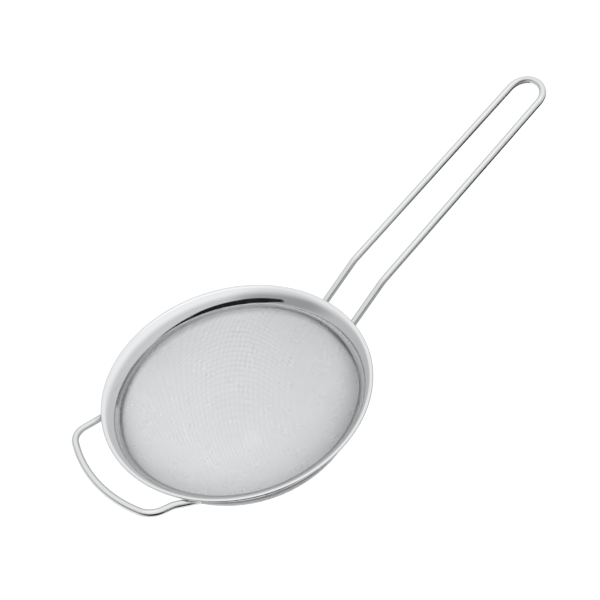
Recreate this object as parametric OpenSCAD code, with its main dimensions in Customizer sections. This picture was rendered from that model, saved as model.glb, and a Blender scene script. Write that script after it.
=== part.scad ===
// Fine-mesh flour sifter: a dished gauze bowl in a pressed funnel rim, with a long
// hairpin handle on one side and a short wire loop on the other to rest on a pan.
// The origin is the middle of the mouth, at the top of the rim. +Z is up along the
// bowl's axis and +X points along the long handle.

/* [Rim] */
// Outside diameter of the rim
rim_d = 160; // [150:1:180]
// Steepness of the funnel flange below level, in degrees
flange_slope = 36; // [32:1:40]
// Inside diameter of the collar below the flange
collar_d = 141.6; // [138:0.2:143]
// Height of the collar's straight part, below the shoulder
collar_h = 1.4; // [1.3:0.1:4]
// Thickness of the rim's steel sheet
sheet_t = 0.6; // [0.5:0.1:0.8]
// Radius of the rounded shoulder between the flange and the collar, on its upper face
shoulder_r = 8.5; // [6:0.1:9]
// Diameter of the curled outer edge
curl_d = 1.3; // [1.2:0.1:1.8]

/* [Gauze] */
// Overall depth of the bowl below the rim
bowl_depth = 53.4; // [45:0.1:60]
// Fullness of the bowl's curve, where 2 is an ellipse and 1 is a cone
bowl_fullness = 1.75; // [1.6:0.05:2.2]
// Thickness of the woven gauze
gauze_t = 0.4; // [0.3:0.05:0.6]
// Height of the gauze's upright edge, held between the collar and the clamp ring
gauze_skirt_h = 1.3; // [1:0.1:1.3]

/* [Clamp ring] */
// Height of the clamp ring
clamp_h = 3.6; // [3:0.1:3.8]
// Thickness of the clamp ring
clamp_t = 0.7; // [0.5:0.1:1]

/* [Wires] */
// Diameter of the handle and rest loop wire
wire_d = 4.3; // [3.5:0.1:4.6]
// Distance from the bowl's axis to the wire's centre at the handle's end
handle_reach = 253.5; // [200:0.5:300]
// Height of the wire's centre at the handle's end, above the rim
handle_end_z = 65.2; // [40:0.1:80]
// Distance from the bowl's axis to the bend in the handle's two legs
handle_bend_x = 106.1; // [100:0.1:115]
// Height of the wire's centre at that bend, above the rim
handle_bend_z = 12.8; // [12:0.1:14]
// Half of the spacing between the handle's legs, from the rim to the bend
handle_half_w = 13.05; // [12:0.05:16]
// Half of the spacing between the handle's legs at the handle's end
handle_end_half_w = 11.6; // [10:0.1:13]
// Distance from the bowl's axis to the middle of the rest loop's bar
loop_reach = 97; // [94:0.1:105]
// Half of the spacing between the rest loop's corners
loop_half_w = 39.3; // [39:0.1:42]
// Bend radius of the rest loop's bar
loop_bar_r = 88; // [80:0.5:88]
// Half of the angle that the rest loop's bar turns through, in degrees
loop_bar_angle = 21.5; // [20:0.1:21.5]
// Bend radius of the rest loop's two corners
loop_corner_r = 12; // [8:0.1:12]
// Height of the rest loop's bar, above the rim
loop_bar_z = 2.1; // [1:0.1:4]

/* [Hidden] */
$fn = 96;

rim_r = rim_d / 2;
collar_r = collar_d / 2;
curl_r = curl_d / 2;
wire_r = wire_d / 2;
curl_centre = [rim_r - curl_r, -curl_r];

// The flange's upper face is a straight line, tangent to the curl and to the shoulder.
flange_up = [-sin(flange_slope), cos(flange_slope)];
flange_top = curl_centre + curl_r * flange_up;
shoulder_x = collar_r + shoulder_r;
shoulder_top_x = shoulder_x + shoulder_r * flange_up.x;
shoulder_top_z = flange_top.y - (flange_top.x - shoulder_top_x) * tan(flange_slope);
shoulder_centre = [shoulder_x, shoulder_top_z - shoulder_r * flange_up.y];
underside_r = shoulder_r - sheet_t;
collar_depth = collar_h - shoulder_centre.y;

// The gauze stands on the collar's outside, and the clamp ring on the gauze's.
gauze_in_r = collar_r + sheet_t;
gauze_out_r = gauze_in_r + gauze_t;
clamp_out_r = gauze_out_r + clamp_t;
clamp_overhang = 0.6;
clamp_bottom = -collar_depth - clamp_overhang;
clamp_top = clamp_bottom + clamp_h;
dish_h = bowl_depth - collar_depth;
dish_steps = 30;

// The legs of the handle run in a straight line under the curl to the clamp ring.
handle_root_slope = 31;
handle_root_gap = 1.2;
handle_root_x = clamp_out_r + handle_root_gap;
handle_root_z = handle_bend_z - (handle_bend_x - handle_root_x) * tan(handle_root_slope);
handle_bend_r = 22;
handle_end_roundness = 0.98;
handle_end_r = handle_end_half_w * handle_end_roundness;

// The legs of the rest loop spread and kink just outside the rim, then dip under it.
loop_tip_x = loop_reach + loop_bar_r * (1 / cos(loop_bar_angle) - 1);
loop_corner_x = loop_tip_x - loop_half_w * tan(loop_bar_angle);
loop_kink_spread = 1.3;
loop_root_spread = 5.2;
loop_kink = [-74.5, loop_half_w + loop_kink_spread, -1.2];
loop_root = [-60, loop_half_w + loop_root_spread, -7.4];
loop_kink_r = 16;

// The wires are drawn with this many flat sides, and a ring of points every few degrees.
wire_sides = 20;
bend_step = 6;
weld_r = 2.9;

function unit(v) = v / norm(v);
function flip_y(p) = [p.x, -p.y, p.z];

// Points on an arc about centre c, from angle a0 to angle a1
function arc(c, r, a0, a1, steps = 12) =
    [for (i = [0:steps]) let (a = a0 + (a1 - a0) * i / steps) c + r * [cos(a), sin(a)]];

// One side of the dish: a superellipse from the mouth's radius down to the axis
function dish(r, h) = [
    for (i = [0:dish_steps]) let (a = 90 * i / dish_steps)
    [r * pow(cos(a), 2 / bowl_fullness), -collar_depth - h * pow(sin(a), 2 / bowl_fullness)]
];

function reverse(list) = [for (i = [len(list) - 1:-1:0]) list[i]];

// Routes of the two bent wires, as corner points with a bend radius at each
handle_side = [
    [handle_root_x, handle_half_w, handle_root_z],
    [handle_bend_x, handle_half_w, handle_bend_z],
    [handle_reach, handle_end_half_w, handle_end_z]
];
handle_route = concat(handle_side, [for (p = reverse(handle_side)) flip_y(p)]);
handle_radii = [0, handle_bend_r, handle_end_r, handle_end_r, handle_bend_r, 0];

loop_side = [loop_root, loop_kink, [-loop_corner_x, loop_half_w, loop_bar_z]];
loop_route = concat(
    loop_side, [[-loop_tip_x, 0, loop_bar_z]], [for (p = reverse(loop_side)) flip_y(p)]
);
loop_radii = [0, loop_kink_r, loop_corner_r, loop_bar_r, loop_corner_r, loop_kink_r, 0];

function back_dir(p, i) = unit(p[i - 1] - p[i]);
function next_dir(p, i) = unit(p[i + 1] - p[i]);
function turn(p, i) = 180 - acos(back_dir(p, i) * next_dir(p, i));

// Points round the bend at corner i, on an arc tangent to both straights
function bend_points(p, radii, i) = let (
    out = unit(back_dir(p, i) + next_dir(p, i)),
    half = turn(p, i) / 2,
    centre = p[i] + out * radii[i] / cos(half),
    along = unit(next_dir(p, i) - back_dir(p, i)),
    steps = max(2, ceil(half / bend_step))
) [for (k = [-steps:steps]) centre + radii[i] * (along * sin(half * k / steps) - out * cos(half * k / steps))];

// The whole centre line: both ends, and every bend between them
function centre_line(p, radii) = concat(
    [p[0]], [for (i = [1:len(p) - 2]) each bend_points(p, radii, i)], [p[len(p) - 1]]
);

// Direction of the centre line at its point i
function heading(c, i) = unit(
    (i > 0 ? unit(c[i] - c[i - 1]) : [0, 0, 0]) + (i < len(c) - 1 ? unit(c[i + 1] - c[i]) : [0, 0, 0])
);

// One ring of wire_sides points round the centre line's point i. Its corners stand out
// a little past the wire's radius, so that the section has the area of a true circle.
function wire_ring(c, i) = let (
    way = heading(c, i),
    side = unit(cross(way, [0, 0, 1])),
    up = cross(side, way),
    r = wire_r * sqrt(PI / (wire_sides / 2 * sin(360 / wire_sides)))
) [for (k = [0:wire_sides - 1]) c[i] + r * (side * cos(360 * k / wire_sides) + up * sin(360 * k / wire_sides))];

// A round wire with a constant section, bent to the given route
module round_wire(p, radii) {
    c = centre_line(p, radii);
    n = wire_sides;
    last = (len(c) - 1) * n;
    polyhedron(
        points = [for (i = [0:len(c) - 1]) each wire_ring(c, i)],
        faces = concat(
            [[for (k = [0:n - 1]) k]],
            [for (i = [0:len(c) - 2], k = [0:n - 1])
                [i * n + k, (i + 1) * n + k, (i + 1) * n + (k + 1) % n, i * n + (k + 1) % n]],
            [[for (k = [n - 1:-1:0]) last + k]]
        )
    );
}

// The rim's section: collar, rounded shoulder, flange and the curl at its edge
module rim_shape() {
    curl_end = 90 + flange_slope + acos((curl_r - sheet_t) / curl_r) - 360;
    rotate_extrude() polygon(concat(
        [[collar_r, -collar_depth]],
        arc(shoulder_centre, shoulder_r, 180, 90 + flange_slope),
        arc(curl_centre, curl_r, 90 + flange_slope, curl_end, 20),
        arc(shoulder_centre, underside_r, 90 + flange_slope, 180),
        [[gauze_in_r, -collar_depth]]
    ));
}

module ring_shape() {
    lip = 0.25;
    rotate_extrude() polygon([
        [gauze_out_r, clamp_bottom], [clamp_out_r - lip, clamp_bottom],
        [clamp_out_r, clamp_bottom + lip], [clamp_out_r, clamp_top - lip],
        [clamp_out_r - lip, clamp_top], [gauze_out_r, clamp_top]
    ]);
}

// Everything inside the outer surface of the flange, the collar and the clamp ring
module rim_envelope() {
    translate([0, 0, clamp_bottom]) cylinder(r = clamp_out_r, h = clamp_h);
    rotate_extrude() polygon(concat(
        [[0, -collar_depth], [gauze_in_r, -collar_depth]],
        arc(shoulder_centre, underside_r, 180, 90 + flange_slope),
        [flange_top - sheet_t * flange_up, flange_top, [0, flange_top.y]]
    ));
}

// The domed weld that joins a wire's cut end to the clamp ring and the collar. It
// starts at the end face, and the wire leaves that face in direction way.
module end_weld(at, way) {
    axis_tilt = acos(way.z);
    axis_turn = atan2(way.y, way.x);
    difference() {
        translate(at) sphere(r = weld_r);
        translate(at) rotate([0, axis_tilt, axis_turn]) cylinder(r = 2 * weld_r, h = 2 * weld_r);
        rim_envelope();
    }
}

module handle_weld() {
    end_weld(handle_route[0], next_dir(handle_route, 0));
}

module loop_weld() {
    end_weld(loop_route[0], next_dir(loop_route, 0));
}

module rim_flange() {
    color([0.83, 0.84, 0.84]) rim_shape();
}

module clamp_ring() {
    color([0.66, 0.67, 0.68]) ring_shape();
}

module mesh_bowl() {
    color([0.78, 0.78, 0.79]) rotate_extrude() polygon(concat(
        [[gauze_in_r, -collar_depth + gauze_skirt_h], [gauze_out_r, -collar_depth + gauze_skirt_h]],
        dish(gauze_out_r, dish_h),
        reverse(dish(gauze_in_r, dish_h - gauze_t))
    ));
}

module long_handle() {
    color([0.8, 0.8, 0.81]) round_wire(handle_route, handle_radii);
}

module rest_loop() {
    color([0.8, 0.8, 0.81]) round_wire(loop_route, loop_radii);
}

module handle_weld_left() {
    color([0.7, 0.69, 0.67]) handle_weld();
}

module handle_weld_right() {
    color([0.7, 0.69, 0.67]) mirror([0, 1, 0]) handle_weld();
}

module loop_weld_left() {
    color([0.7, 0.69, 0.67]) loop_weld();
}

module loop_weld_right() {
    color([0.7, 0.69, 0.67]) mirror([0, 1, 0]) loop_weld();
}

rim_flange();
clamp_ring();
mesh_bowl();
long_handle();
rest_loop();
handle_weld_left();
handle_weld_right();
loop_weld_left();
loop_weld_right();
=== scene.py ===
"""Fine-mesh flour sifter: a woven gauze bowl in a pressed funnel rim, with a bent wire
handle and a wire rest loop. Every size is in metres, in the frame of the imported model:
the origin is the middle of the mouth, +Z is up and +X points along the handle."""

import math

import bpy
import numpy as np
from bpy.props import FloatProperty, FloatVectorProperty, IntProperty, PointerProperty
from mathutils import Matrix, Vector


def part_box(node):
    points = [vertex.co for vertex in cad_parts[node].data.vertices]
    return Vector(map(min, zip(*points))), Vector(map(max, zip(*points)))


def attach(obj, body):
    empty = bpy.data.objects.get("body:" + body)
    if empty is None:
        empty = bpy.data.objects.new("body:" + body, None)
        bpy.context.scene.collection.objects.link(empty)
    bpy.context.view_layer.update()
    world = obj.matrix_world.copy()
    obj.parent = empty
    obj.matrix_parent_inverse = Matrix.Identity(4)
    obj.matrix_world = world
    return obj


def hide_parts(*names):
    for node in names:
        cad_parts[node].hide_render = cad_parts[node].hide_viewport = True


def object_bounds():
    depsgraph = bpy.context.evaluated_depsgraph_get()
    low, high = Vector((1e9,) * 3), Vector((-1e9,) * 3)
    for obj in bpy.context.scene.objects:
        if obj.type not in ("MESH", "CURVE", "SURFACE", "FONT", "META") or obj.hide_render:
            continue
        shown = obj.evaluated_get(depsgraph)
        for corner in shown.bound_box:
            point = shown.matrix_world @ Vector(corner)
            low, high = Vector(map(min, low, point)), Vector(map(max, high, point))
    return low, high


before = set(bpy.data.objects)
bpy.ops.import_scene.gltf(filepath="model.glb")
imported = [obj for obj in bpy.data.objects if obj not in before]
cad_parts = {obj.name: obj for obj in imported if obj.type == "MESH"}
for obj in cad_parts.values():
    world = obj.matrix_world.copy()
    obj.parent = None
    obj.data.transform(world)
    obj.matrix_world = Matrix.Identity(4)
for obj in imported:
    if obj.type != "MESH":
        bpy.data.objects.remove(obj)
CAD_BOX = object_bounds()

bl_info = {
    "name": "Flour sifter",
    "version": (1, 0, 0),
    "blender": (4, 5, 0),
    "location": "View3D > Sidebar > Sifter",
    "description": "Builds a wire-handled flour sifter with a woven gauze bowl",
    "category": "Add Mesh",
}

MM = 0.001
BODY = "root"
RIM_LOW, RIM_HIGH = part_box("rim_flange")
RING_LOW, RING_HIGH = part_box("clamp_ring")
BOWL_LOW, BOWL_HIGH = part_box("mesh_bowl")


def linear(hex_colour):
    """Turns an sRGB hex colour into linear red, green and blue."""
    parts = [int(hex_colour[i : i + 2], 16) / 255 for i in (1, 3, 5)]
    return tuple(c / 12.92 if c <= 0.04045 else ((c + 0.055) / 1.055) ** 2.4 for c in parts)


def length(name, description, default, **limits):
    """A size that a user may change, in metres."""
    return FloatProperty(
        name=name, description=description, default=default, unit="LENGTH", precision=5, **limits
    )


def angle(name, description, degrees):
    """An angle that a user may change, kept in radians."""
    return FloatProperty(
        name=name, description=description, default=math.radians(degrees), unit="ROTATION"
    )


def colour(name, description, hex_colour):
    """A colour that a user may change."""
    return FloatVectorProperty(
        name=name, description=description, default=linear(hex_colour), subtype="COLOR", size=3
    )


class SifterRimSizes(bpy.types.PropertyGroup):
    """Sizes of the pressed rim and of the ring that clamps the gauze to it."""

    radius: length("Rim radius", "Outer radius of the rim", RIM_HIGH.x)
    collar: length("Collar radius", "Inner radius of the collar", 70.8 * MM)
    sheet: length("Sheet", "Thickness of the steel sheet", 0.6 * MM)
    foot: length("Shoulder foot", "Bend radius of the sheet's middle above the collar", 1.5 * MM)
    shoulder: length("Shoulder", "Bend radius of the sheet's middle over the shoulder", 18 * MM)
    brow: length("Brow", "Bend radius of the sheet's middle where it rolls to the edge", 3.4 * MM)
    curl: length("Curl", "Bend radius of the sheet's middle in the curled edge", 0.45 * MM)
    foot_slope: angle("Foot slope", "Slope of the sheet between the two shoulder bends", 67)
    slope: angle("Flange slope", "Slope of the flange where it leaves the shoulder", 44)
    crown: angle("Flange crown", "How much the flange flattens towards its brow", 10)
    spots: IntProperty(name="Spot welds", description="Weld spots round the clamp ring", default=28)


class SifterGauzeSizes(bpy.types.PropertyGroup):
    """Sizes of the woven gauze bowl."""

    pitch: length("Wire spacing", "Distance between neighbouring gauze wires", 0.8 * MM)
    wire: length("Gauze wire", "Diameter of one gauze wire", 0.26 * MM)
    fullness: FloatProperty(
        name="Fullness", description="Exponent of the bowl's curve; 2 is an ellipse", default=1.75
    )
    turn: angle("Weave direction", "Angle from the handle to the warp wires", 48)


class SifterWireSizes(bpy.types.PropertyGroup):
    """Sizes of the two bent wires and their welds."""

    wire: length("Wire", "Diameter of the handle and loop wire", 4.3 * MM)
    reach: length("Reach", "Where the handle's legs would meet its end bar", 253.5 * MM)
    end_height: length("End height", "Height of the handle's end above the rim", 65.2 * MM)
    bend_x: length("Bend", "Distance from the bowl's axis to the legs' bend", 106.1 * MM)
    bend_height: length("Bend height", "Height of the legs' bend above the rim", 12.8 * MM)
    half_width: length("Half width", "Half of the legs' spacing at the bend", 13.05 * MM)
    end_half_width: length("End half width", "Half of the legs' spacing at the end", 11.6 * MM)
    root_slope: angle("Root slope", "Slope of the legs between the rim and the bend", 31)
    loop_reach: length("Loop reach", "Distance from the bowl's axis to the loop's bar", 97 * MM)
    loop_half_width: length("Loop half width", "Half of the loop's width", 39.3 * MM)
    loop_height: length("Loop height", "Height of the loop's bar above the rim", 2.1 * MM)
    bar_radius: length("Bar radius", "Bend radius of the loop's bar", 88 * MM)
    bar_angle: angle("Bar angle", "Half of the angle that the bar turns through", 21.5)
    corner_radius: length("Corner radius", "Bend radius of the loop's corners", 12 * MM)


class SifterColours(bpy.types.PropertyGroup):
    """Colours of the bare steels and of the table."""

    polished: colour("Polished sheet", "Mirror-polished stainless sheet", "#DADBDB")
    strip: colour("Strip", "Rolled stainless strip of the clamp ring", "#C2C4C5")
    gauze: colour("Gauze", "Woven stainless wire", "#DFE0E2")
    wire: colour("Wire", "Bright-drawn stainless wire", "#D6D7D7")
    weld: colour("Weld", "Weld metal", "#A8A7A5")
    heat_tint: colour("Heat tint", "Straw tint in patches on the welds", "#989284")
    table: colour("Table", "Opal table top, lit from below", "#FFFFFF")


# ---------------------------------------------------------------- surfaces


def put_piece(name, points, faces, material, replaced, along=None):
    """Puts arrays of points and faces into a mesh object that rides on the body.

    faces is a list of arrays, each with its own number of corners to a face. along gives
    one (round, lengthwise) pair of numbers to each point, kept as the piece's UV map."""
    corners = np.concatenate([f.ravel() for f in faces]).astype(np.int32)
    totals = np.concatenate([np.full(len(f), f.shape[1]) for f in faces]).astype(np.int32)
    starts = np.concatenate([[0], np.cumsum(totals)[:-1]]).astype(np.int32)
    mesh = bpy.data.meshes.new(name)
    mesh.vertices.add(len(points))
    mesh.vertices.foreach_set("co", np.ascontiguousarray(points, np.float32).ravel())
    mesh.loops.add(len(corners))
    mesh.loops.foreach_set("vertex_index", corners)
    mesh.polygons.add(len(totals))
    mesh.polygons.foreach_set("loop_start", starts)
    mesh.polygons.foreach_set("loop_total", totals)
    mesh.polygons.foreach_set("use_smooth", np.ones(len(totals), bool))
    if along is not None:
        layer = mesh.uv_layers.new(name="along")
        layer.data.foreach_set("uv", np.ascontiguousarray(along[corners], np.float32).ravel())
    mesh.update(calc_edges=True)
    if mesh.validate():
        raise RuntimeError(f"{name}: the mesh had faults")
    mesh.materials.append(material)
    piece = bpy.data.objects.new(name, mesh)
    bpy.context.scene.collection.objects.link(piece)
    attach(piece, BODY)
    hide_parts(*replaced)


def ring_faces(rows, columns, close_rows):
    """Four-cornered faces between neighbouring rows of points, where each row is closed.

    Point k of row i has the number i * columns + k. close_rows joins the last row to the
    first. Faces point to the left of the rows' direction seen along a row."""
    i = np.arange(rows if close_rows else rows - 1)[:, None]
    k = np.arange(columns)[None, :]
    after = (i + 1) % rows
    beside = (k + 1) % columns
    quads = [i * columns + k, after * columns + k, after * columns + beside, i * columns + beside]
    return np.stack(quads, -1).reshape(-1, 4)


def lathe(outline, turns):
    """Turns a closed outline of (radius, height) points round the Z axis.

    Point (t, k) is (r_k cos t, r_k sin t, z_k), with t in equal steps of a full turn. The
    outline runs anticlockwise, so the faces point out of it."""
    t = np.linspace(0, 2 * np.pi, turns, endpoint=False)[:, None]
    r, z = outline[:, 0][None], outline[:, 1][None]
    points = np.stack([r * np.cos(t), r * np.sin(t), z + 0 * t], -1)
    return points.reshape(-1, 3), [ring_faces(turns, len(outline), True)]


def thicken(middle, heading, thickness, end_steps=5):
    """The closed outline of a sheet, from its middle line and heading at each point.

    Both sides stand half the thickness off the middle line, square to its heading, and a
    half circle rounds each cut edge. It runs anticlockwise."""
    half = thickness / 2
    square = np.stack([-np.sin(heading), np.cos(heading)], -1)
    turn = np.linspace(0, np.pi, end_steps + 2)[1:-1]

    def rounded(point, start):
        return point + half * np.stack([np.cos(start + turn), np.sin(start + turn)], -1)

    last = rounded(middle[-1], heading[-1] - np.pi / 2)
    first = rounded(middle[0], heading[0] + np.pi / 2)
    right, left = middle - half * square, middle + half * square
    return np.concatenate([right, last, left[::-1], first])


def bent_line(corners, radii, step=math.radians(2.5), spacing=6 * MM):
    """A centre line that runs straight between corner points, with an arc at each bend.

    An arc of radius r that turns by 2h is tangent to both straights; its centre stands
    r / cos h from the corner, on the line that halves the angle. Straights get a point
    every spacing, and arcs one every step."""
    corners = np.asarray(corners, float)
    pieces = [corners[:1]]
    for before, corner, after, radius in zip(corners, corners[1:], corners[2:], radii):
        back = (before - corner) / np.linalg.norm(before - corner)
        ahead = (after - corner) / np.linalg.norm(after - corner)
        half = (np.pi - np.arccos(np.clip(back @ ahead, -1, 1))) / 2
        out = (back + ahead) / np.linalg.norm(back + ahead)
        way = (ahead - back) / np.linalg.norm(ahead - back)
        centre = corner + out * radius / np.cos(half)
        t = np.linspace(-half, half, 2 * int(np.ceil(half / step)) + 1)[:, None]
        pieces.append(centre + radius * (way * np.sin(t) - out * np.cos(t)))
    pieces.append(corners[-1:])
    line = pieces[0]
    for piece in pieces[1:]:
        gap = piece[0] - line[-1]
        count = max(1, int(np.linalg.norm(gap) / spacing))
        straight = line[-1] + gap * (np.arange(1, count) / count)[:, None]
        line = np.concatenate([line, straight, piece])
    return line


def sweep(line, radius, sides=32, bevel=0.35 * MM):
    """Carries a circle along a centre line, and closes both ends with a bevelled disc.

    Each ring stands square to the line's mean heading there. Its points are centre +
    radius * (side cos a + up sin a), where side is level. Gives points, faces and, for
    each point, its angle and its distance along the line."""
    steps = np.diff(line, axis=0)
    steps /= np.linalg.norm(steps, axis=1)[:, None]
    heading = np.concatenate([steps[:1], steps[1:] + steps[:-1], steps[-1:]])
    heading /= np.linalg.norm(heading, axis=1)[:, None]
    line = np.concatenate(
        [line[:1], line[:1] + bevel * steps[:1], line[1:-1], line[-1:] - bevel * steps[-1:], line[-1:]]
    )
    heading = np.concatenate([heading[:1], heading, heading[-1:]])
    size = np.full(len(line), radius)
    size[[0, -1]] = radius - bevel
    side = np.cross(heading, [0, 0, 1])
    side /= np.linalg.norm(side, axis=1)[:, None]
    up = np.cross(side, heading)
    a = np.linspace(0, 2 * np.pi, sides, endpoint=False)[None, :, None]
    ring = side[:, None] * np.cos(a) + up[:, None] * np.sin(a)
    points = line[:, None] + size[:, None, None] * ring
    run = np.concatenate([[0], np.cumsum(np.linalg.norm(np.diff(line, axis=0), axis=1))])
    along = np.stack(np.broadcast_arrays(a[..., 0] * radius, run[:, None]), -1)
    caps = np.array([np.arange(sides), np.arange(sides)[::-1] + (len(line) - 1) * sides])
    faces = [ring_faces(len(line), sides, False), caps]
    return points.reshape(-1, 3), faces, along.reshape(-1, 2)


def dish_profile(radius, low, high, bottom, fullness, steps=2400):
    """The dish's section, from its lowest point out and up its straight edge.

    r = radius cos(a)^(2/fullness) and z = low - depth sin(a)^(2/fullness), and then a
    straight line up. Gives the distance along it, r and z, with the straight line run
    on far past the edge, and the distance at which the gauze ends."""
    a = np.linspace(np.pi / 2, 0, steps)
    r = radius * np.abs(np.cos(a)) ** (2 / fullness)
    z = low - (low - bottom) * np.sin(a) ** (2 / fullness)
    r[0] = 0
    rise = np.linspace(0, radius, 200)[1:]
    r = np.concatenate([r, np.full(len(rise), radius)])
    z = np.concatenate([z, low + rise])
    run = np.concatenate([[0], np.cumsum(np.hypot(np.diff(r), np.diff(z)))])
    return run, r, z, run[steps - 1] + high - low


class DishSurface:
    """A dish of revolution, addressed by flat coordinates x and y.

    The point (x, y) lies at the distance hypot(x, y) along the dish's section from its
    lowest point, in the direction of (x, y)."""

    def __init__(self, run, r, z):
        self.run, self.r, self.z = run, r, z

    def point(self, x, y):
        far = np.maximum(np.hypot(x, y), 1e-9)
        r = np.interp(far, self.run, self.r)
        return np.stack([r * x / far, r * y / far, np.interp(far, self.run, self.z)], -1)

    def normal(self, x, y):
        """The unit vector square to the dish, pointing into the bowl."""
        far = np.maximum(np.hypot(x, y), 1e-9)
        nudge = 0.2 * MM
        dr = np.interp(far + nudge, self.run, self.r) - np.interp(far, self.run, self.r)
        dz = np.interp(far + nudge, self.run, self.z) - np.interp(far, self.run, self.z)
        size = np.hypot(dr, dz)
        return np.stack([-dz / size * x / far, -dz / size * y / far, dr / size], -1)


def cloth_net(dish, end, pitch, tries=10):
    """Where the wires of a square-woven cloth cross when it is pressed into a dish.

    The two middle wires run straight out from the lowest point. Each other crossing is
    one pitch from its two neighbours nearer the middle, as in cloth whose wires keep
    their length and only turn where they cross. It is solved by Newton's method, one
    diagonal of crossings at a time. Gives flat coordinates for one quarter of the bowl."""
    count = int(end / pitch) + 3
    x = np.zeros((count, count))
    y = np.zeros((count, count))
    x[:, 0] = y[0, :] = np.arange(count) * pitch
    nudge = 1e-3 * pitch
    for diagonal in range(2, 2 * count - 1):
        i = np.arange(max(1, diagonal - count + 1), min(diagonal - 1, count - 1) + 1)
        j = diagonal - i
        near_a = dish.point(x[i - 1, j], y[i - 1, j])
        near_b = dish.point(x[i, j - 1], y[i, j - 1])
        u = x[i - 1, j] + x[i, j - 1] - x[i - 1, j - 1]
        v = y[i - 1, j] + y[i, j - 1] - y[i - 1, j - 1]
        for _ in range(tries):
            at = dish.point(u, v)
            du = (dish.point(u + nudge, v) - at) / nudge
            dv = (dish.point(u, v + nudge) - at) / nudge
            miss_a = ((at - near_a) ** 2).sum(-1) - pitch**2
            miss_b = ((at - near_b) ** 2).sum(-1) - pitch**2
            au, av = 2 * ((at - near_a) * du).sum(-1), 2 * ((at - near_a) * dv).sum(-1)
            bu, bv = 2 * ((at - near_b) * du).sum(-1), 2 * ((at - near_b) * dv).sum(-1)
            area = au * bv - av * bu
            step_u = (miss_a * bv - miss_b * av) / area
            step_v = (au * miss_b - bu * miss_a) / area
            damp = np.minimum(1, 0.5 * pitch / np.maximum(np.hypot(step_u, step_v), 1e-12))
            u = u - damp * step_u
            v = v - damp * step_v
        x[i, j] = u
        y[i, j] = v
    return x, y


def gauze_wires(dish, x, y, end, wire, phase):
    """Points and faces of every wire that runs along the net's rows.

    Row j of the net is a wire. It rises over one crossing wire and dips under the next by
    one wire radius, and holds that height for about a third of the pitch. Its section is
    a diamond with the area of the round wire, so the smoothed faces shade as a round wire.
    Gives one pair of points and faces for each wire."""
    sides = 4
    diamond_radius = wire / 2 * math.sqrt(math.pi / 2)
    half_hold = 0.17
    a = np.linspace(0, 2 * np.pi, sides, endpoint=False)[None, :, None]
    wires = []
    for j in range(x.shape[1]):
        inside = np.flatnonzero(np.hypot(x[:, j], y[:, j]) < end)
        if len(inside) < 3:
            continue
        u, v = x[inside, j], y[inside, j]
        over = np.where((inside + j + phase) % 2, 1.0, -1.0)
        base = dish.point(u, v)
        lift = dish.normal(u, v)
        way = np.gradient(base, axis=0)
        pitch = np.linalg.norm(way, axis=1)[:, None]
        way /= pitch
        centre = base + lift * (over * wire / 2)[:, None]
        hold = way * pitch * half_hold
        rings = np.stack([centre - hold, centre + hold], 1).reshape(-1, 3)
        up = np.repeat(lift, 2, 0)
        ahead = np.repeat(way, 2, 0)
        side = np.cross(ahead, up)
        side /= np.linalg.norm(side, axis=1)[:, None]
        ring = side[:, None] * np.cos(a) + up[:, None] * np.sin(a)
        points = rings[:, None] + diamond_radius * ring
        caps = np.array([np.arange(sides), np.arange(sides)[::-1] + (len(rings) - 1) * sides])
        faces = np.concatenate([ring_faces(len(rings), sides, False), caps])
        wires.append((points.reshape(-1, 3), faces))
    return wires


def join_wires(wires):
    """Joins many wires' points and faces into one array of each."""
    counts = np.array([len(points) for points, _ in wires])
    starts = np.concatenate([[0], np.cumsum(counts)[:-1]])
    points = np.concatenate([points for points, _ in wires])
    return points, [np.concatenate([faces + s for (_, faces), s in zip(wires, starts)])]


def bead(centre, along, out, size, ripples, sides=40, rows=28):
    """A weld bead: an ellipsoid whose surface steps up and down along its length.

    Point (a, b) stands size * (sin a cos b, sin a sin b, cos a) from the centre on the axes
    across, out and along, times 1 + height sin a cos(ripples * a + slant cos b), which
    leaves the overlapping crescents of a weld laid drop by drop. Both poles are closed by
    triangles."""
    height, slant = 0.05, 0.35
    along = along / np.linalg.norm(along)
    out = out - along * (out @ along)
    out /= np.linalg.norm(out)
    across = np.cross(out, along)
    a = np.linspace(0, np.pi, rows + 2)[1:-1, None]
    b = np.linspace(0, 2 * np.pi, sides, endpoint=False)[None]
    swell = 1 + height * np.cos(ripples * a + slant * np.cos(b)) * np.sin(a)
    scale = np.array(size)
    spread = np.stack([np.sin(a) * np.cos(b), np.sin(a) * np.sin(b), np.cos(a) + 0 * b], -1)
    local = spread * swell[..., None] * scale
    axes = np.stack([across, out, along])
    body = (local @ axes).reshape(-1, 3)
    poles = np.array([along, -along]) * scale[2]
    points = centre + np.concatenate([body, poles])
    k = np.arange(sides)
    top, bottom = len(body), len(body) + 1
    last = (rows - 1) * sides
    first_fan = np.stack([np.full(sides, top), k, (k + 1) % sides], -1)
    last_fan = np.stack([np.full(sides, bottom), last + (k + 1) % sides, last + k], -1)
    return points, [ring_faces(rows, sides, False), first_fan, last_fan]


# --------------------------------------------------------------- materials


def add_node(tree, kind, inputs=None, **settings):
    """Adds a node, sets its settings, and fills or links its inputs by name or number."""
    made = tree.nodes.new(kind)
    for name, value in settings.items():
        setattr(made, name, value)
    for name, value in (inputs or {}).items():
        if isinstance(value, bpy.types.NodeSocket):
            tree.links.new(value, made.inputs[name])
        else:
            made.inputs[name].default_value = value
    return made


def start_metal(name, base, roughness):
    """A bare metal with a plain base colour and roughness, ready for its patterns."""
    material = bpy.data.materials.new(name)
    material.use_nodes = True
    tree = material.node_tree
    tree.nodes.clear()
    shader = add_node(
        tree,
        "ShaderNodeBsdfPrincipled",
        {"Base Color": (*base, 1), "Metallic": 1.0, "Roughness": roughness},
    )
    add_node(tree, "ShaderNodeOutputMaterial", {"Surface": shader.outputs[0]})
    return material, tree, shader


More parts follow.
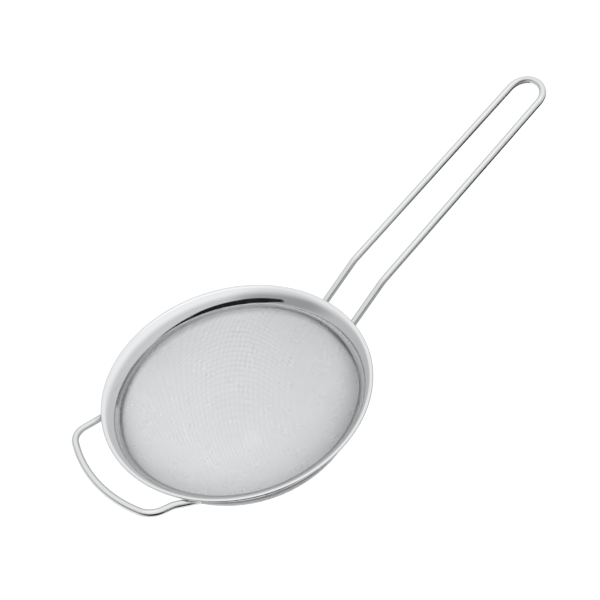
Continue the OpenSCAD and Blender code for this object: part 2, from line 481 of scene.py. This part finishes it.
def mirror_polished_sheet(colours):
    """Stainless sheet, pressed to shape and buffed on a mop.

    A buffed sheet mirrors the room, but its surface still rolls a little over 18 mm, which
    bends what it mirrors, and its gloss varies in smears 7 mm wide. The mop leaves
    hairlines about 0.05 mm wide round the axis; they are drawn 0.5 mm wide, as finer ones
    would not show. The outer edge is scuffed duller. The specular tint, which dulls the
    sheet at grazing angles, is given and stands for no known coating."""
    scuff_start, scuff_end = 78.6 * MM, 79.8 * MM
    material, tree, shader = start_metal("stainless_sheet_mirror_buffed", colours.polished, 0.07)
    shader.inputs["Specular Tint"].default_value = (0.6, 0.6, 0.6, 1)
    place = add_node(tree, "ShaderNodeTexCoord").outputs["Object"]
    split = add_node(tree, "ShaderNodeSeparateXYZ", {0: place})
    flat = add_node(tree, "ShaderNodeCombineXYZ", {0: split.outputs[0], 1: split.outputs[1]})
    radius = add_node(tree, "ShaderNodeVectorMath", {0: flat.outputs[0]}, operation="LENGTH")
    section = add_node(
        tree, "ShaderNodeCombineXYZ", {0: radius.outputs["Value"], 1: split.outputs[2]}
    )
    hairlines = add_node(
        tree,
        "ShaderNodeTexNoise",
        {"Vector": section.outputs[0], "Scale": 1 / (0.5 * MM), "Detail": 2.0},
    )
    cloud = add_node(
        tree, "ShaderNodeTexNoise", {"Vector": place, "Scale": 1 / (18 * MM), "Detail": 1.0}
    )
    smear = add_node(
        tree, "ShaderNodeTexNoise", {"Vector": place, "Scale": 1 / (7 * MM), "Detail": 4.0}
    )
    base_rough = add_node(
        tree,
        "ShaderNodeMapRange",
        {"Value": smear.outputs[0], 1: 0.35, 2: 0.75, 3: 0.05, 4: 0.13},
    )
    scuff_zone = add_node(
        tree,
        "ShaderNodeMapRange",
        {"Value": radius.outputs["Value"], 1: scuff_start, 2: scuff_end, 3: 0.0, 4: 1.0},
    )
    scuffs = add_node(
        tree, "ShaderNodeTexNoise", {"Vector": place, "Scale": 1 / (1.6 * MM), "Detail": 3.0}
    )
    scuff = add_node(
        tree,
        "ShaderNodeMath",
        {0: scuff_zone.outputs[0], 1: scuffs.outputs[0]},
        operation="MULTIPLY",
    )
    rough = add_node(
        tree,
        "ShaderNodeMath",
        {0: scuff.outputs[0], 1: 0.28, 2: base_rough.outputs[0]},
        operation="MULTIPLY_ADD",
    )
    tree.links.new(rough.outputs[0], shader.inputs["Roughness"])
    roll = add_node(
        tree,
        "ShaderNodeBump",
        {"Height": cloud.outputs[0], "Strength": 0.25, "Distance": 0.3 * MM},
    )
    marks = add_node(
        tree,
        "ShaderNodeBump",
        {
            "Height": hairlines.outputs[0],
            "Strength": 0.12,
            "Distance": 0.01 * MM,
            "Normal": roll.outputs[0],
        },
    )
    tree.links.new(marks.outputs[0], shader.inputs["Normal"])
    return material


def rolled_strip(colours):
    """Stainless strip, cold rolled and bent into a ring, left as rolled.

    Rolling leaves a satin surface with fine lines along the strip, here drawn 0.4 mm
    apart."""
    material, tree, shader = start_metal("stainless_strip_cold_rolled", colours.strip, 0.24)
    place = add_node(tree, "ShaderNodeTexCoord").outputs["Object"]
    stretch = add_node(tree, "ShaderNodeMapping", {"Vector": place, "Scale": (0.04, 0.04, 1.0)})
    lines = add_node(
        tree,
        "ShaderNodeTexNoise",
        {"Vector": stretch.outputs[0], "Scale": 1 / (0.4 * MM), "Detail": 3.0},
    )
    rough = add_node(
        tree,
        "ShaderNodeMapRange",
        {"Value": lines.outputs[0], 1: 0.3, 2: 0.7, 3: 0.17, 4: 0.34},
    )
    tree.links.new(rough.outputs[0], shader.inputs["Roughness"])
    bump = add_node(
        tree,
        "ShaderNodeBump",
        {"Height": lines.outputs[0], "Strength": 0.2, "Distance": 0.03 * MM},
    )
    tree.links.new(bump.outputs[0], shader.inputs["Normal"])
    return material


def woven_gauze_wire_painted_edge_shade(colours):
    """Fine stainless wire, woven and then bright annealed.

    Annealing leaves the wire satin and a little uneven in brightness, in patches of about
    12 mm. The last few millimetres below the ring are drawn darker as painted shade, for the
    shade between the crowded wires where the cloth stands steep next to the collar. That is
    set by eye, and its cause is not known."""
    painted_shade_start, painted_shade_end = -17.5 * MM, -12.5 * MM
    material, tree, shader = start_metal("stainless_gauze_woven_annealed_painted_edge_shade", colours.gauze, 0.3)
    place = add_node(tree, "ShaderNodeTexCoord").outputs["Object"]
    patches = add_node(
        tree, "ShaderNodeTexNoise", {"Vector": place, "Scale": 1 / (12 * MM), "Detail": 3.0}
    )
    rough = add_node(
        tree,
        "ShaderNodeMapRange",
        {"Value": patches.outputs[0], 1: 0.3, 2: 0.7, 3: 0.24, 4: 0.36},
    )
    tree.links.new(rough.outputs[0], shader.inputs["Roughness"])
    dark = tuple(0.93 * c for c in colours.gauze)
    tint = add_node(
        tree,
        "ShaderNodeMix",
        {0: patches.outputs[0], 6: (*dark, 1), 7: (*colours.gauze, 1)},
        data_type="RGBA",
    )
    # Painted shade: the gauze's colour falls to 0.3 of itself over the 5 mm below the ring.
    split = add_node(tree, "ShaderNodeSeparateXYZ", {0: place})
    painted_shade_factor = add_node(
        tree,
        "ShaderNodeMapRange",
        {"Value": split.outputs[2], 1: painted_shade_start, 2: painted_shade_end, 3: 1.0, 4: 0.3},
        interpolation_type="SMOOTHSTEP",
    )
    colour_with_painted_shade = add_node(
        tree,
        "ShaderNodeVectorMath",
        {0: tint.outputs[2], 3: painted_shade_factor.outputs[0]},
        operation="SCALE",
    )
    tree.links.new(colour_with_painted_shade.outputs[0], shader.inputs["Base Color"])
    return material


def bright_drawn_wire(colours):
    """Stainless wire, drawn through dies, bent cold and electropolished.

    Drawing leaves fine lines along the wire. They are about 0.03 mm wide and are drawn
    0.25 mm wide, so that they show. Polishing leaves slow swells in gloss every 9 mm."""
    material, tree, shader = start_metal("stainless_wire_drawn_polished", colours.wire, 0.09)
    along = add_node(tree, "ShaderNodeUVMap", uv_map="along").outputs[0]
    stretch = add_node(tree, "ShaderNodeMapping", {"Vector": along, "Scale": (1.0, 0.02, 1.0)})
    lines = add_node(
        tree,
        "ShaderNodeTexNoise",
        {"Vector": stretch.outputs[0], "Scale": 1 / (0.25 * MM), "Detail": 2.0},
    )
    place = add_node(tree, "ShaderNodeTexCoord").outputs["Object"]
    swell = add_node(
        tree, "ShaderNodeTexNoise", {"Vector": place, "Scale": 1 / (9 * MM), "Detail": 3.0}
    )
    rough = add_node(
        tree,
        "ShaderNodeMapRange",
        {"Value": swell.outputs[0], 1: 0.35, 2: 0.7, 3: 0.07, 4: 0.16},
    )
    tree.links.new(rough.outputs[0], shader.inputs["Roughness"])
    bump = add_node(
        tree,
        "ShaderNodeBump",
        {"Height": lines.outputs[0], "Strength": 0.15, "Distance": 0.02 * MM},
    )
    tree.links.new(bump.outputs[0], shader.inputs["Normal"])
    return material


def brushed_weld(colours):
    """Stainless weld metal, brushed clean after welding.

    Heat leaves a straw tint in patches of 1 to 2 mm, and the brush leaves it satin."""
    material, tree, shader = start_metal("stainless_weld_brushed", colours.weld, 0.34)
    place = add_node(tree, "ShaderNodeTexCoord").outputs["Object"]
    patches = add_node(
        tree, "ShaderNodeTexNoise", {"Vector": place, "Scale": 1 / (1.5 * MM), "Detail": 3.0}
    )
    share = add_node(
        tree,
        "ShaderNodeMapRange",
        {"Value": patches.outputs[0], 1: 0.5, 2: 0.75, 3: 0.0, 4: 0.6},
    )
    tint = add_node(
        tree,
        "ShaderNodeMix",
        {0: share.outputs[0], 6: (*colours.weld, 1), 7: (*colours.heat_tint, 1)},
        data_type="RGBA",
    )
    tree.links.new(tint.outputs[2], shader.inputs["Base Color"])
    bump = add_node(
        tree,
        "ShaderNodeBump",
        {"Height": patches.outputs[0], "Strength": 0.3, "Distance": 0.1 * MM},
    )
    tree.links.new(bump.outputs[0], shader.inputs["Normal"])
    return material


def start_matt(name, base, roughness):
    """A matt material with a plain base colour, for the stage."""
    material = bpy.data.materials.new(name)
    material.use_nodes = True
    shader = material.node_tree.nodes["Principled BSDF"]
    shader.inputs["Base Color"].default_value = (*linear(base), 1)
    shader.inputs["Roughness"].default_value = roughness
    return material, shader


def lit_acrylic(colours):
    """Opal acrylic, lit from below, so that shadows hardly show on it."""
    material, shader = start_matt("acrylic_opal_lit", "#3A3A3A", 0.6)
    shader.inputs["Emission Color"].default_value = (*colours.table, 1)
    shader.inputs["Emission Strength"].default_value = 1.0
    return material


def black_velvet():
    """Cotton velvet, dyed black, which gives back hardly any light."""
    material, _ = start_matt("curtain_black_velvet", "#0A0A0B", 1.0)
    return material


def fading_glow_felt():
    """Felt that goes from white, at its left edge, to black 0.3 m further right: a painted glow over
    black felt, fading out.

    The white is drawn as a glow a little weaker than the lit table's."""
    white_end, black_end = -0.02, 0.28
    material, shader = start_matt("felt_painted_glow_fading_to_black", "#0A0A0B", 1.0)
    shader.inputs["Emission Color"].default_value = (1, 1, 1, 1)
    tree = material.node_tree
    place = add_node(tree, "ShaderNodeTexCoord").outputs["Object"]
    split = add_node(tree, "ShaderNodeSeparateXYZ", {0: place})
    # Painted glow: the emission fades from 0.88 to none across the felt.
    fade = add_node(
        tree,
        "ShaderNodeMapRange",
        {"Value": split.outputs[0], 1: white_end, 2: black_end, 3: 0.88, 4: 0.0},
    )
    tree.links.new(fade.outputs[0], shader.inputs["Emission Strength"])
    return material


# --------------------------------------------------------------- operators


class SIFTER_OT_rim(bpy.types.Operator):
    """Builds the pressed rim: collar, shoulder, crowned flange and curled edge"""

    bl_idname = "sifter.rim"
    bl_label = "Rim flange"

    def execute(self, context):
        """The sheet's middle line is drawn by its heading, which turns at a given rate.

        It runs straight up the collar, turns outwards sharply at the shoulder's foot and
        slowly over the shoulder, flattens across the flange and faster over the brow, and
        curls under at the edge. The heading is added up from those turns, and the line from
        the heading. The collar and the flange are as long as the rim's height and radius
        need."""
        sizes = context.scene.sifter_rim
        half = sizes.sheet / 2
        foot_turn = math.pi / 2 - sizes.foot_slope
        shoulder_turn = sizes.foot_slope - sizes.slope
        slope_at_curl = math.radians(3)
        curl_turn = math.radians(225)
        brow_turn = sizes.slope - sizes.crown - slope_at_curl
        foot, shoulder = sizes.foot * foot_turn, sizes.shoulder * shoulder_turn

        def section(collar, flange):
            runs = [collar, foot, shoulder, flange, sizes.brow * brow_turn, sizes.curl * curl_turn]
            turns = [0, foot_turn, shoulder_turn, sizes.crown, brow_turn, curl_turn]
            counts = [6, 14, 18, 20, 14, 28]
            step = np.concatenate([np.full(n, run / n) for run, n in zip(runs, counts)])
            bend = np.concatenate([np.full(n, turn / n) for turn, n in zip(turns, counts)])
            heading = math.pi / 2 - np.concatenate([[0], np.cumsum(bend)])
            middle = (heading[1:] + heading[:-1]) / 2
            r = np.concatenate([[0], np.cumsum(step * np.cos(middle))])
            z = np.concatenate([[0], np.cumsum(step * np.sin(middle))])
            return np.stack([r + sizes.collar + half, z + RIM_LOW.z + half], -1), heading

        short, long = 3 * MM, 6 * MM
        reach = [section(0, flange)[0][:, 0].max() + half for flange in (short, long)]
        flange = short + (long - short) * (sizes.radius - reach[0]) / (reach[1] - reach[0])
        collar = RIM_HIGH.z - half - section(0, flange)[0][:, 1].max()
        if collar < 0:
            raise RuntimeError("the shoulder and the flange are taller than the rim")
        middle, heading = section(collar, flange)
        points, faces = lathe(thicken(middle, heading, sizes.sheet), turns=420)
        material = mirror_polished_sheet(context.scene.sifter_colours)
        put_piece("rim_flange_sheet", points, faces, material, ["rim_flange"])
        return {"FINISHED"}


class SIFTER_OT_clamp_ring(bpy.types.Operator):
    """Builds the ring that holds the gauze's edge against the collar"""

    bl_idname = "sifter.clamp_ring"
    bl_label = "Clamp ring"

    def execute(self, context):
        """The strip's section is an upright line, thickened, turned round the axis.

        Each spot weld is a dimple in its outer face, as deep as spot_depth times the bell
        curve of the distance from the spot's middle over spot_reach."""
        sizes = context.scene.sifter_rim
        inner, outer = BOWL_HIGH.x, RING_HIGH.x
        low, high = RING_LOW.z, RING_HIGH.z
        middle, half = (inner + outer) / 2, (outer - inner) / 2
        rows = 25
        heights = np.linspace(high - half, low + half, rows)
        line = np.stack([np.full(rows, middle), heights], -1)
        outline = thicken(line, np.full(rows, -np.pi / 2), 2 * half, end_steps=7)
        points, faces = lathe(outline, turns=960)
        spot_depth, spot_reach = 0.16 * MM, 0.9 * MM
        radius = np.hypot(points[:, 0], points[:, 1])
        turn = np.arctan2(points[:, 1], points[:, 0])
        spacing = 2 * np.pi / sizes.spots
        off = (turn / spacing - np.round(turn / spacing)) * spacing * outer
        off_height = points[:, 2] - (low + high) / 2
        dent = spot_depth * np.exp(-(off**2 + off_height**2) / spot_reach**2)
        outer_part = middle + 0.1 * MM
        outside = radius > outer_part
        shrink = np.where(outside, 1 - dent / radius, 1)
        points[:, :2] *= shrink[:, None]
        material = rolled_strip(context.scene.sifter_colours)
        put_piece("clamp_ring_strip", points, faces, material, ["clamp_ring"])
        return {"FINISHED"}


class SIFTER_OT_gauze(bpy.types.Operator):
    """Weaves the gauze bowl, one bent wire at a time"""

    bl_idname = "sifter.gauze"
    bl_label = "Gauze bowl"

    def execute(self, context):
        """The net of crossings is mirrored into four quarters and turned to the weave's
        direction. Its rows are the weft wires and its columns the warp wires, and each
        piece takes a band of neighbouring wires. A real gauze has a wire about every 0.7 mm,
        too fine to show, so it is woven a little coarser."""
        sizes = context.scene.sifter_gauze
        low, high = RIM_LOW.z, BOWL_HIGH.z
        half_sheet = 0.2 * MM
        middle = BOWL_HIGH.x - half_sheet
        bottom = BOWL_LOW.z + sizes.wire
        run, r, z, end = dish_profile(middle, low, high, bottom, sizes.fullness)
        dish = DishSurface(run, r, z)
        x, y = cloth_net(dish, end, sizes.pitch)
        x = np.concatenate([-x[:0:-1], x])
        y = np.concatenate([y[:0:-1], y])
        x = np.concatenate([x[:, :0:-1], x], 1)
        y = np.concatenate([-y[:, :0:-1], y], 1)
        c, s = math.cos(sizes.turn), math.sin(sizes.turn)
        x, y = c * x - s * y, s * x + c * y
        material = woven_gauze_wire_painted_edge_shade(context.scene.sifter_colours)
        bands = 4
        for kind, wires in (
            ("warp", gauze_wires(dish, x, y, end, sizes.wire, 0)),
            ("weft", gauze_wires(dish, x.T, y.T, end, sizes.wire, 1)),
        ):
            counts = np.cumsum([len(faces) for _, faces in wires])
            bounds = counts[-1] * np.arange(bands + 1) / bands
            for band in range(bands):
                share = (counts > bounds[band]) & (counts <= bounds[band + 1])
                points, faces = join_wires([wires[k] for k in np.flatnonzero(share)])
                name = f"gauze_{kind}_{band + 1}"
                put_piece(name, points, faces, material, ["mesh_bowl"])
        return {"FINISHED"}


def mirrored(corners):
    """A route of corner points on one side, and the same on the other, in running order."""
    side = np.asarray(corners, float)
    return side, side[::-1] * [1, -1, 1]


def handle_route(sizes):
    """Corner points of the handle's left leg, from its welded end to its far corner."""
    gap = 0.8 * MM
    root_x = RING_HIGH.x + gap
    root_height = sizes.bend_height - (sizes.bend_x - root_x) * math.tan(sizes.root_slope)
    return [
        [root_x, sizes.half_width, root_height],
        [sizes.bend_x, sizes.half_width, sizes.bend_height],
        [sizes.reach, sizes.end_half_width, sizes.end_height],
    ]


def loop_route(sizes):
    """Corner points of the loop's left leg, and where its bar's two ends would meet.

    The leg starts at its cut end under the flange and has a kink further out."""
    root_x, root_spread, root_height = -60 * MM, 5.2 * MM, -7.4 * MM
    kink_x, kink_spread, kink_height = -74.5 * MM, 1.3 * MM, -1.2 * MM
    secant = 1 / math.cos(sizes.bar_angle)
    tip_x = -(sizes.loop_reach + sizes.bar_radius * (secant - 1))
    corner_x = tip_x + sizes.loop_half_width * math.tan(sizes.bar_angle)
    left = [
        [root_x, sizes.loop_half_width + root_spread, root_height],
        [kink_x, sizes.loop_half_width + kink_spread, kink_height],
        [corner_x, sizes.loop_half_width, sizes.loop_height],
    ]
    return left, [tip_x, 0, sizes.loop_height]


class SIFTER_OT_handle(bpy.types.Operator):
    """Bends the long handle from one wire"""

    bl_idname = "sifter.handle"
    bl_label = "Long handle"

    def execute(self, context):
        """A round section is carried along two legs and the bend that joins them."""
        sizes = context.scene.sifter_wires
        left, right = mirrored(handle_route(sizes))
        end_roundness = 0.98
        leg_bend, end_bend = 22 * MM, end_roundness * sizes.end_half_width
        radii = [leg_bend, end_bend, end_bend, leg_bend]
        line = bent_line(np.concatenate([left, right]), radii)
        points, faces, along = sweep(line, sizes.wire / 2)
        material = bright_drawn_wire(context.scene.sifter_colours)
        put_piece(
            "long_handle_wire", points, faces, material, ["long_handle"], along
        )
        return {"FINISHED"}


class SIFTER_OT_rest_loop(bpy.types.Operator):
    """Bends the rest loop from one wire"""

    bl_idname = "sifter.rest_loop"
    bl_label = "Rest loop"

    def execute(self, context):
        """A round section is carried along two kinked legs and the bowed bar between."""
        sizes = context.scene.sifter_wires
        left, tip = loop_route(sizes)
        left, right = mirrored(left)
        corner, kink = sizes.corner_radius, 16 * MM
        radii = [kink, corner, sizes.bar_radius, corner, kink]
        line = bent_line(np.concatenate([left, [tip], right]), radii)
        points, faces, along = sweep(line, sizes.wire / 2)
        material = bright_drawn_wire(context.scene.sifter_colours)
        put_piece("rest_loop_wire", points, faces, material, ["rest_loop"], along)
        return {"FINISHED"}


class SIFTER_OT_welds(bpy.types.Operator):
    """Lays the four weld beads that hold the wires to the rim"""

    bl_idname = "sifter.welds"
    bl_label = "Weld beads"

    def execute(self, context):
        """Each bead is a rippled ellipsoid round the wire's end, long along the wire.

        Its half sizes run across the wire, out from the rim and along the wire. The
        handle's beads are moved down and half as far out. All are in millimetres."""
        sizes = context.scene.sifter_wires
        material = brushed_weld(context.scene.sifter_colours)
        beads = (
            ("handle", handle_route(sizes), [2.5, 2.3, 2.6], 0.7),
            ("loop", loop_route(sizes)[0], [2.35, 2.2, 2.4], 0.0),
        )
        outward_share = 0.5
        for wire, route, half_sizes, shift in beads:
            for side, sign in (("left", 1), ("right", -1)):
                flip = np.array([1, sign, 1])
                start, after = np.array(route[0]) * flip, np.array(route[1]) * flip
                out = np.array([start[0], start[1], 0])
                away = outward_share * out / np.linalg.norm(out) - [0, 0, 1]
                seat = start + shift * MM * away
                size = np.array(half_sizes) * MM
                points, faces = bead(seat, after - start, out, size, ripples=14)
                name = f"{wire}_weld_{side}"
                put_piece(f"{name}_bead", points, faces, material, [name])
        return {"FINISHED"}


def stage_sheet(name, points, faces, material):
    """A bare sheet of the stage, from its points and faces."""
    mesh = bpy.data.meshes.new(name)
    mesh.from_pydata(points, [], faces)
    mesh.materials.append(material)
    sheet = bpy.data.objects.new(name, mesh)
    bpy.context.scene.collection.objects.link(sheet)
    return sheet


def stage_rectangle(name, material, left, right, front, back, height):
    """A level rectangle of the stage, between two values of x and two of y."""
    corners = [(left, front), (right, front), (right, back), (left, back)]
    return stage_sheet(name, [(x, y, height) for x, y in corners], [(0, 1, 2, 3)], material)


class SIFTER_OT_stage(bpy.types.Operator):
    """Sets the pale table, the soft studio light and the camera"""

    bl_idname = "sifter.stage"
    bl_label = "Stage"

    def execute(self, context):
        """A lit table, three cloths seen only in gloss, a pale sky, a softbox, a camera."""
        scene = context.scene
        scene.view_settings.view_transform = "Standard"
        self.table(scene)
        self.cloths()
        self.sky(scene)
        self.lamps(scene)
        self.camera(scene)
        return {"FINISHED"}

    def table(self, scene):
        """A table top 5 m square, at the bowl's lowest point."""
        half, height = 2.5, CAD_BOX[0][2]
        material = lit_acrylic(scene.sifter_colours)
        table = stage_rectangle("table", material, -half, half, -half, half, height)

    def cloths(self):
        """Dark cloths for the bare metal to mirror, which show only in glossy reflections.

        The curtain hangs on a part of a circle of 0.9 m, behind the camera. Its top and its
        foot rise and fall with the bearing, and both are given as elevations in degrees. A
        black mat lies in front on the left, and a graded mat in front and under the handle,
        both just above the table. The black mat is painted shade: in reflections it stands in
        for the sifter's shade on the table just in front of the rim. The graded mat is a painted
        glow that fades to black."""
        radius, steps, gap = 0.9, 64, 0.5 * MM
        bearings = [-176, -172, -160, -148, -121, -108, -96, -71, -50]
        tops = [23, 23.5, 24.5, 25, 22, 19, 14.4, 6.5, 0]
        feet = [12, 11.5, 5, -3.3, -3.3, -3.3, -3.3, -3.3, -3.3]
        around = np.linspace(bearings[0], bearings[-1], steps)
        high = radius * np.tan(np.radians(np.interp(around, bearings, tops)))
        low = radius * np.tan(np.radians(np.interp(around, bearings, feet)))
        x, y = radius * np.cos(np.radians(around)), radius * np.sin(np.radians(around))
        points = np.concatenate([np.stack([x, y, low], -1), np.stack([x, y, high], -1)])
        k = np.arange(steps - 1)
        faces = np.stack([k, k + 1, steps + k + 1, steps + k], -1)
        velvet, felt = black_velvet(), fading_glow_felt()
        height = CAD_BOX[0][2] + gap
        curtain = stage_sheet("curtain", points.tolist(), faces.tolist(), velvet)
        # Painted shade: this black mat stands in, in reflections, for the sifter's shade on the table
        # in front of the rim.
        painted_shade_mat = stage_rectangle("mat_black_painted_shade", velvet, -0.5, -0.03, -0.8, -0.1, height)
        painted_glow_mat = stage_rectangle("mat_graded_painted_glow", felt, -0.03, 0.6, -0.36, 0.05, height)
        for screen in (curtain, painted_shade_mat, painted_glow_mat):
            screen.visible_camera = False
            screen.visible_diffuse = False
            screen.visible_shadow = False

    def sky(self, scene):
        """Soft white, a little brighter at the front, more so overhead, dimmer by the loop.

        The dim patch lies low down on the loop's side. Each part's strength follows how far
        a direction leans towards that part's own axis."""
        world = bpy.data.worlds.new("studio")
        world.use_nodes = True
        tree = world.node_tree
        tree.nodes.clear()
        way = add_node(tree, "ShaderNodeTexCoord").outputs["Generated"]
        overhead = add_node(
            tree, "ShaderNodeVectorMath", {0: way, 1: (0.1, 0.12, 0.988)}, operation="DOT_PRODUCT"
        )
        loop_side = add_node(
            tree,
            "ShaderNodeVectorMath",
            {0: way, 1: (-0.903, -0.079, 0.423)},
            operation="DOT_PRODUCT",
        )
        dimmer = add_node(
            tree,
            "ShaderNodeMapRange",
            {"Value": loop_side.outputs["Value"], 1: 0.72, 2: 0.97, 3: 0.0, 4: -0.28},
            interpolation_type="SMOOTHSTEP",
        )
        brighter = add_node(
            tree,
            "ShaderNodeMapRange",
            {"Value": overhead.outputs["Value"], 1: 0.38, 2: 0.72, 3: 0.0, 4: 0.42},
            interpolation_type="SMOOTHSTEP",
        )
        front_side = add_node(
            tree,
            "ShaderNodeVectorMath",
            {0: way, 1: (0.03, -0.08, 0.0)},
            operation="DOT_PRODUCT",
        )
        around = add_node(
            tree, "ShaderNodeMath", {0: front_side.outputs["Value"], 1: 0.76}, operation="ADD"
        )
        above = add_node(
            tree, "ShaderNodeMath", {0: brighter.outputs[0], 1: around.outputs[0]}, operation="ADD"
        )
        total = add_node(
            tree, "ShaderNodeMath", {0: above.outputs[0], 1: dimmer.outputs[0]}, operation="ADD"
        )
        light = add_node(
            tree,
            "ShaderNodeBackground",
            {"Color": (*linear("#FBFCFD"), 1), "Strength": total.outputs[0]},
        )
        add_node(tree, "ShaderNodeOutputWorld", {"Surface": light.outputs[0]})
        scene.world = world

    def lamps(self, scene):
        """One large softbox overhead."""
        data = bpy.data.lights.new("softbox", "AREA")
        data.shape = "DISK"
        data.size = 0.8
        data.energy = 0.3
        softbox = bpy.data.objects.new("softbox", data)
        softbox.location = (0.1, 0.1, 1.3)
        scene.collection.objects.link(softbox)

    def camera(self, scene):
        """Looks from 700 mm off, above the front left, a little tilted to the right."""
        azimuth, elevation, roll = np.radians([-30.56, 45.81, 12.87])
        distance = 700 * MM
        target = np.array([55.12, 0.24, 27.45]) * MM
        level = np.array([math.cos(azimuth), math.sin(azimuth), 0])
        back = np.array(
            [
                math.sin(azimuth) * math.cos(elevation),
                -math.cos(azimuth) * math.cos(elevation),
                math.sin(elevation),
            ]
        )
        upright = np.cross(back, level)
        right = math.cos(roll) * level - math.sin(roll) * upright
        up = math.cos(roll) * upright + math.sin(roll) * level
        place = Matrix.Identity(4)
        for column, vector in enumerate((right, up, back, target + distance * back)):
            for row in range(3):
                place[row][column] = vector[row]
        data = bpy.data.cameras.new("camera")
        data.sensor_width = 36
        data.lens = 72.63
        camera = bpy.data.objects.new("camera", data)
        camera.matrix_world = place
        scene.collection.objects.link(camera)
        scene.camera = camera


class SIFTER_PT_panel(bpy.types.Panel):
    """Lists the sifter's sizes, colours and operators"""

    bl_idname = "SIFTER_PT_panel"
    bl_label = "Flour sifter"
    bl_space_type = "VIEW_3D"
    bl_region_type = "UI"
    bl_category = "Sifter"

    def draw(self, context):
        for name, group in SETTINGS.items():
            box = self.layout.box()
            for key in group.__annotations__:
                box.prop(getattr(context.scene, name), key)
        for operator in OPERATORS:
            self.layout.operator(operator.bl_idname)


SETTINGS = {
    "sifter_rim": SifterRimSizes,
    "sifter_gauze": SifterGauzeSizes,
    "sifter_wires": SifterWireSizes,
    "sifter_colours": SifterColours,
}
OPERATORS = (
    SIFTER_OT_rim,
    SIFTER_OT_clamp_ring,
    SIFTER_OT_gauze,
    SIFTER_OT_handle,
    SIFTER_OT_rest_loop,
    SIFTER_OT_welds,
    SIFTER_OT_stage,
)


def register():
    for group in SETTINGS.values():
        bpy.utils.register_class(group)
    for name, group in SETTINGS.items():
        setattr(bpy.types.Scene, name, PointerProperty(type=group))
    for operator in OPERATORS:
        bpy.utils.register_class(operator)
    bpy.utils.register_class(SIFTER_PT_panel)


def unregister():
    bpy.utils.unregister_class(SIFTER_PT_panel)
    for operator in reversed(OPERATORS):
        bpy.utils.unregister_class(operator)
    for name, group in reversed(SETTINGS.items()):
        delattr(bpy.types.Scene, name)
        bpy.utils.unregister_class(group)


def main():
    """Builds every piece in order."""
    register()
    bpy.ops.sifter.rim()
    bpy.ops.sifter.clamp_ring()
    bpy.ops.sifter.gauze()
    bpy.ops.sifter.handle()
    bpy.ops.sifter.rest_loop()
    bpy.ops.sifter.welds()
    bpy.ops.sifter.stage()


if __name__ == "__main__":
    main()
